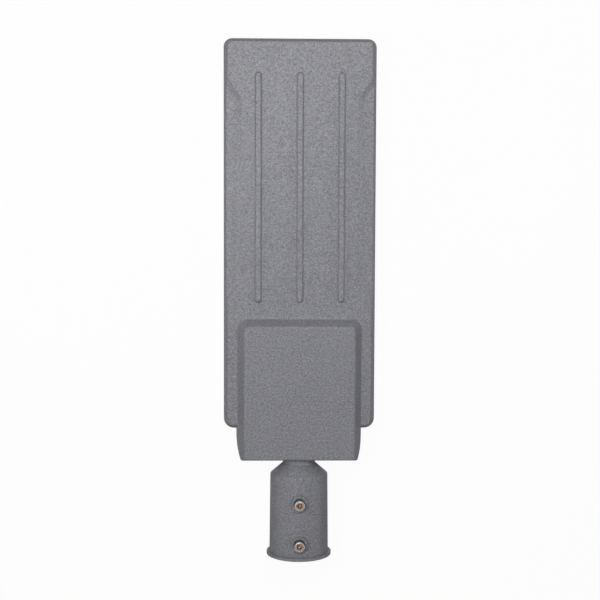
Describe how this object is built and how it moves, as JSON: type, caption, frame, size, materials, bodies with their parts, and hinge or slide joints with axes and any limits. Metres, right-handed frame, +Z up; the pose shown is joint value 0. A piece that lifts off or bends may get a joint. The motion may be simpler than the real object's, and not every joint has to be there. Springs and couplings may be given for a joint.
{
  "type": "led street light head",
  "caption": "LED street light head: flat cast panel with lens plate below, raised driver box and a round socket that clamps on a pole end.",
  "frame": {"origin": "centre of the pole socket's bore at its mouth", "axes": "+Y along the socket's axis towards the lamp's far end, +Z up towards the ribbed side, +X to the right seen from above; the lenses face -Z"},
  "size_m": [0.182, 0.6195, 0.0863],
  "materials": {
    "casting": "fine-textured grey powder coat",
    "socket_casting": "smooth grey powder coat",
    "steel": "stainless, bright",
    "gasket_rubber": "matt",
    "board": "white solder mask",
    "led": "phosphor yellow",
    "white_plastic": "matt",
    "lens": "clear moulded",
    "black_plastic": "matt",
    "driver_case": "satin silver",
    "tinned_brass": "tinned",
    "lead_sheath": "matt",
    "earth_sheath": "matt green"
  },
  "bodies": {
    "root": {"housing": "casting", "pole_socket": "socket_casting", "socket_gasket": "gasket_rubber", "socket_bolts": "steel", "clamp_screw_front": "steel", "clamp_screw_rear": "steel", "led_board": "board", "led_chips": "led", "board_screws": "steel", "board_connector": "white_plastic", "lens_plate": "lens", "lens_gasket": "gasket_rubber", "lens_screws": "steel", "driver_cover": "casting", "cover_gasket": "gasket_rubber", "cover_screws": "steel", "vent_plug": "black_plastic", "vent_washer": "gasket_rubber", "vent_nut": "black_plastic", "led_driver": "driver_case", "driver_screws": "steel", "surge_protector": "black_plastic", "surge_screws": "steel", "terminal_block": "white_plastic", "terminal_screws": "steel", "gland_body": "black_plastic", "gland_nut": "black_plastic", "gland_insert": "gasket_rubber", "earth_lug": "tinned_brass", "earth_screw": "steel", "lead_grommet": "gasket_rubber", "supply_lead": "lead_sheath", "earth_lead": "earth_sheath", "surge_lead": "lead_sheath", "led_lead": "lead_sheath"}
  },
  "joints": []
}
